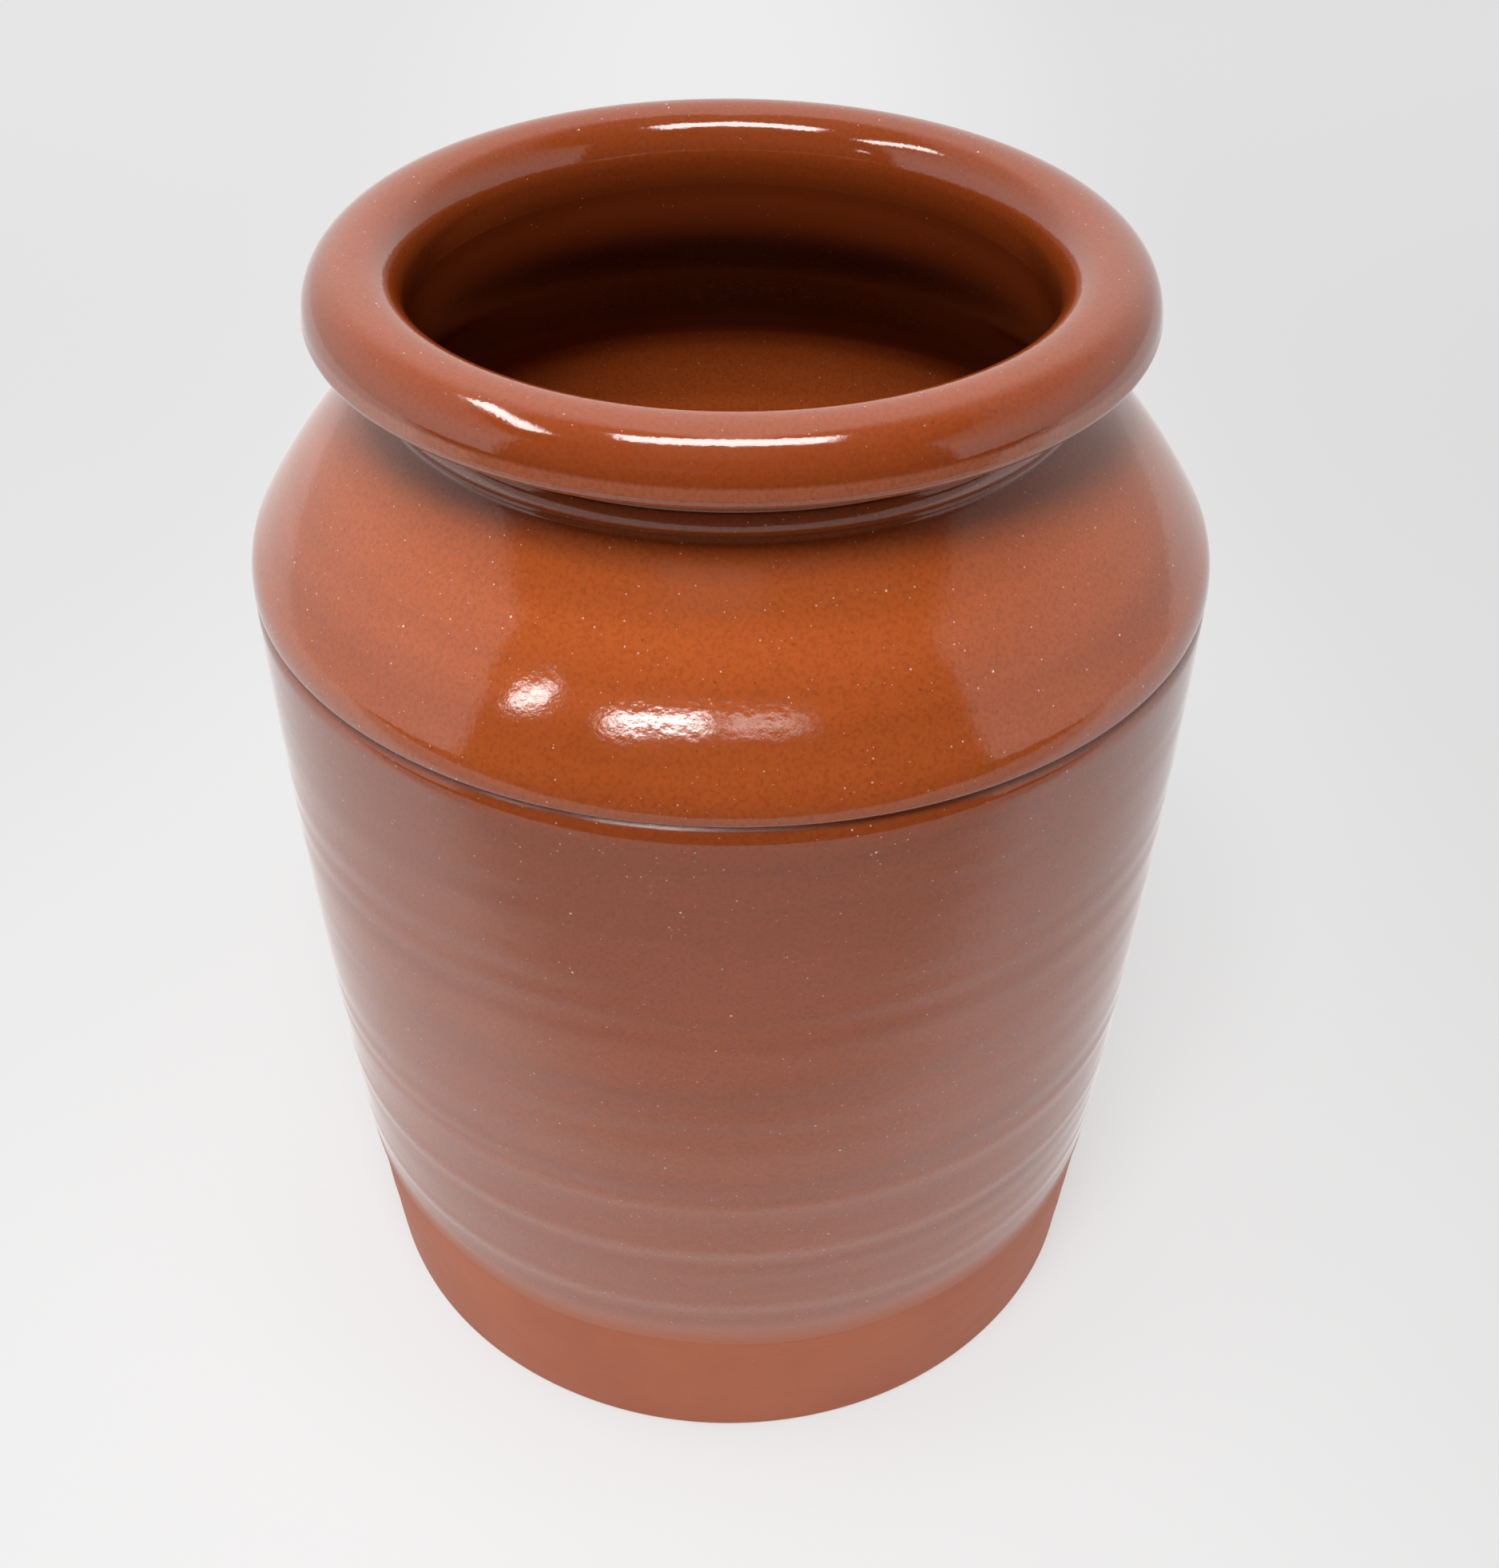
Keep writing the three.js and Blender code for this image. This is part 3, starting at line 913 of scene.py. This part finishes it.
FLOOR_RIGHT_MIRROR_DIM = 0.85

# Cards and glows that only mirror rays see
CARD_COLOR = (0.06, 0.06, 0.06, 1)
FRONT_CARD_EDGE = -0.38
FRONT_CARD_LIFT = 0.0005
GLOW_MIDDLE = 0.5
GLOW_FADE_START = 0.2
GLOW_FADE_END = 0.5


def studio_world():
    """Surroundings by direction: azimuth 0 is towards the camera and grows to its right, in degrees."""
    world = bpy.data.worlds.new("studio")
    bpy.context.scene.world = world
    world.use_nodes = True
    tree = world.node_tree
    tree.nodes.clear()
    direction = node(tree, "ShaderNodeTexCoord").outputs["Generated"]
    axes = node(tree, "ShaderNodeSeparateXYZ", {"Vector": direction}).outputs
    toward = calc(tree, "MULTIPLY", axes["Y"], -1)
    azimuth = calc(tree, "DEGREES", calc(tree, "ARCTAN2", axes["X"], toward))
    elevation = calc(tree, "DEGREES", calc(tree, "ARCSINE", axes["Z"]))
    aside = calc(tree, "ABSOLUTE", calc(tree, "SUBTRACT", azimuth, OPENING_MIDDLE))
    past = calc(tree, "SUBTRACT", aside, OPENING_HALF)
    rise = calc(tree, "MULTIPLY_ADD", past, SIDE_TOP_CURVE, SIDE_TOP_RISE)
    top = calc(tree, "MULTIPLY_ADD", past, rise, SIDE_TOP)
    front = remap(tree, past, -OPENING_SOFT, OPENING_SOFT, 1, 0)
    soft = calc(tree, "MULTIPLY_ADD", calc(tree, "MAXIMUM", past, 0), TOP_SOFT_RISE, TOP_SOFT)
    above = remap(tree, calc(tree, "DIVIDE", calc(tree, "SUBTRACT", elevation, top), soft), -1, 1)
    opening = calc(tree, "MAXIMUM", front, above)
    room = remap(tree, elevation, ROOM_LOW_AT, ROOM_HIGH_AT, ROOM_LOW, ROOM_HIGH)
    skew = calc(tree, "MULTIPLY", calc(tree, "SINE", calc(tree, "RADIANS", azimuth)), -SIDE_SKEW)
    side_light = remap(tree, elevation, SIDE_LOW_AT, SIDE_HIGH_AT, SIDE_LOW, SIDE_HIGH)
    walls = calc(tree, "ADD", skew, remap(tree, aside, BACK_START, BACK_END, side_light, BACK_LIGHT))
    walls = calc(tree, "MULTIPLY", walls, calc(tree, "SUBTRACT", 1, opening))
    light = calc(tree, "MULTIPLY_ADD", room, opening, walls)
    seen = node(tree, "ShaderNodeLightPath").outputs["Is Camera Ray"]
    light = calc(tree, "MULTIPLY", light, calc(tree, "SUBTRACT", 1, seen))
    light = calc(tree, "MULTIPLY_ADD", seen, BACKDROP, light)
    background = node(tree, "ShaderNodeBackground", {"Color": WHITE, "Strength": light})
    node(tree, "ShaderNodeOutputWorld", {"Surface": background.outputs["Background"]})


def glowing(tree, strength):
    return node(tree, "ShaderNodeEmission", {"Color": WHITE, "Strength": strength}).outputs["Emission"]


def blended(tree, share, first, second):
    """Shader that goes from the first to the second as the share goes from 0 to 1."""
    return node(tree, "ShaderNodeMixShader", {0: share, 1: first, 2: second}).outputs["Shader"]


def floor_material():
    """Paper that looks white to the camera and keeps the jar's shadow; in mirror rays its front is dimmer,
    as painted shade.
    """
    material, tree = new_material("floor")
    path = node(tree, "ShaderNodeLightPath").outputs
    place = own_place(tree)
    away = node(tree, "ShaderNodeVectorMath", {0: place}, operation="LENGTH").outputs["Value"]
    axes = node(tree, "ShaderNodeSeparateXYZ", {"Vector": place}).outputs
    aside = calc(tree, "ABSOLUTE", axes["X"])
    right_shade = remap(tree, axes["X"], 0, FLOOR_RIGHT_END, 0, -FLOOR_RIGHT_SHADE)
    far_white = remap(tree, axes["Y"], FLOOR_FAR_START, FLOOR_FAR_END, 0, FLOOR_FAR_WHITE)
    white = remap(tree, aside, FLOOR_SIDE_START, FLOOR_SIDE_END, FLOOR_WHITE, FLOOR_SIDE_WHITE)
    white = calc(tree, "ADD", calc(tree, "ADD", white, right_shade), far_white)
    white = remap(tree, away, FLOOR_FADE_START, FLOOR_FADE_END, white, BACKDROP)
    share = remap(tree, away, FLOOR_FADE_START, FLOOR_FADE_END, FLOOR_SHARE, 1)
    share = calc(tree, "MULTIPLY", path["Is Camera Ray"], share)
    paper = node(tree, "ShaderNodeBsdfDiffuse", {"Color": FLOOR_COLOR}).outputs["BSDF"]
    shown = blended(tree, share, paper, glowing(tree, white))
    # Painted fall of light in mirror rays, dimmer towards the front and the right
    mirrored = remap(tree, axes["Y"], FLOOR_MIRROR_DIM_AT, FLOOR_WHITE_AT, FLOOR_MIRROR_DIM, 1)
    right_dim = remap(tree, axes["X"], 0, FLOOR_RIGHT_END, 1, FLOOR_RIGHT_MIRROR_DIM)
    mirrored = glowing(tree, calc(tree, "MULTIPLY", mirrored, right_dim))
    shader = blended(tree, path["Is Glossy Ray"], shown, mirrored)
    node(tree, "ShaderNodeOutputMaterial", {"Surface": shader})
    return material


def card_material():
    material, tree = new_material("black_card")
    finish_material(tree, {"Base Color": CARD_COLOR, "Roughness": 1.0, "Specular IOR Level": 0.0})
    return material


def sheet(name, corners, material):
    """Flat stage sheet with four corners."""
    mesh = bpy.data.meshes.new(name)
    mesh.from_pydata(corners, [], [(0, 1, 2, 3)])
    mesh.materials.append(material)
    made = bpy.data.objects.new(name, mesh)
    bpy.context.scene.collection.objects.link(made)
    return made


def level_corners(left, right, front, back, height):
    return [(left, front, height), (right, front, height), (right, back, height), (left, back, height)]


def upright_corners(left, right, depth, low, high):
    return [(left, depth, low), (right, depth, low), (right, depth, high), (left, depth, high)]


def hide_from_view(card):
    """Leaves a card to be seen in mirror rays alone."""
    card.visible_camera = False
    card.visible_diffuse = False
    card.visible_shadow = False


def lamp(name, place, across, deep, strength):
    """Flat lamp turned to the height of the rim; strength is how bright it looks, white being 1."""
    data = bpy.data.lights.new(name, "AREA")
    data.shape = "RECTANGLE"
    data.size = across
    data.size_y = deep
    data.energy = strength * math.pi * across * deep
    made = bpy.data.objects.new(name, data)
    made.location = place
    away = Vector(place) - Vector((place[0], 0, RIM_TOP * MM))
    made.rotation_euler = away.to_track_quat("Z", "Y").to_euler()
    bpy.context.scene.collection.objects.link(made)
    return made


def glow_card(name, middle, across, up, strength):
    """Soft-edged glowing card in front of the jar, which only mirror rays see."""
    material, tree = new_material(name)
    place = node(tree, "ShaderNodeTexCoord").outputs["Generated"]
    axes = node(tree, "ShaderNodeSeparateXYZ", {"Vector": place}).outputs
    glow = strength
    for axis in ("X", "Z"):
        aside = calc(tree, "ABSOLUTE", calc(tree, "SUBTRACT", axes[axis], GLOW_MIDDLE))
        glow = calc(tree, "MULTIPLY", glow, remap(tree, aside, GLOW_FADE_START, GLOW_FADE_END, 1, 0))
    node(tree, "ShaderNodeOutputMaterial", {"Surface": glowing(tree, glow)})
    left, right = middle[0] - across / 2, middle[0] + across / 2
    low, high = middle[2] - up / 2, middle[2] + up / 2
    hide_from_view(sheet(name, upright_corners(left, right, middle[1], low, high), material))


# Stage: the floor, dark cards in front and round the camera, two bar lamps, a key and the glow of low lamps
studio_world()
sheet("floor", level_corners(-FLOOR_SIZE, FLOOR_SIZE, -FLOOR_SIZE, FLOOR_SIZE, 0.0), floor_material())
black = card_material()
front_corners = level_corners(-FLOOR_SIZE, FLOOR_SIZE, -FLOOR_SIZE, FRONT_CARD_EDGE, FRONT_CARD_LIFT)
camera_corners = upright_corners(left=-0.25, right=0.10, depth=-0.29, low=0.327, high=0.36)
flag_corners = upright_corners(left=-0.19, right=0.12, depth=-0.15, low=0.258, high=0.34)
hide_from_view(sheet("front_card", front_corners, black))
hide_from_view(sheet("camera_card", camera_corners, black))
hide_from_view(sheet("flag_card", flag_corners, black))
lamp("front_bar", place=(-0.006, -0.08, 0.49), across=0.19, deep=0.065, strength=10)
lamp("left_bar", place=(-0.215, -0.03, 0.49), across=0.045, deep=0.18, strength=10)
key = lamp("key", place=(-0.06, -0.37, 0.80), across=0.27, deep=0.27, strength=19.5)
key.visible_glossy = False
glow_card("low_glow_core", middle=(-0.17, -0.55, 0.514), across=0.32, up=0.075, strength=22.0)
glow_card("low_glow_tail", middle=(0.00, -0.5505, 0.512), across=0.44, up=0.075, strength=3.5)
glow_card("low_glow_left", middle=(-0.484, -0.455, 0.50), across=0.21, up=0.065, strength=12.0)

# Camera at the photograph's viewing angle, for an image of 1876 by 1962 pixels
CAMERA_PLACE = (0.0, -0.28505, 0.32981)
CAMERA_PITCH = math.radians(38.865)
CAMERA_YAW = math.radians(0.698)
CAMERA_ROLL = math.radians(0.620)
FOCAL_PIXELS = 2430.3
IMAGE_HEIGHT = 1962
SENSOR = 36.0
CLIP_START = 0.01


def add_camera():
    """Camera that looks down by its pitch and right by its yaw, and rolls about its view."""
    level = Vector((math.sin(CAMERA_YAW), math.cos(CAMERA_YAW), 0))
    forward = level * math.cos(CAMERA_PITCH) - Vector((0, 0, math.sin(CAMERA_PITCH)))
    right = Vector((math.cos(CAMERA_YAW), -math.sin(CAMERA_YAW), 0))
    up = right.cross(forward)
    across = math.cos(CAMERA_ROLL) * right + math.sin(CAMERA_ROLL) * up
    upward = math.cos(CAMERA_ROLL) * up - math.sin(CAMERA_ROLL) * right
    data = bpy.data.cameras.new("camera")
    data.sensor_width = SENSOR
    data.lens = FOCAL_PIXELS * SENSOR / IMAGE_HEIGHT
    data.clip_start = CLIP_START
    camera = bpy.data.objects.new("camera", data)
    turn = Matrix((across, upward, -forward)).transposed().to_4x4()
    camera.matrix_world = Matrix.Translation(CAMERA_PLACE) @ turn
    bpy.context.scene.collection.objects.link(camera)
    bpy.context.scene.camera = camera


add_camera()
bpy.context.scene.view_settings.view_transform = "Standard"
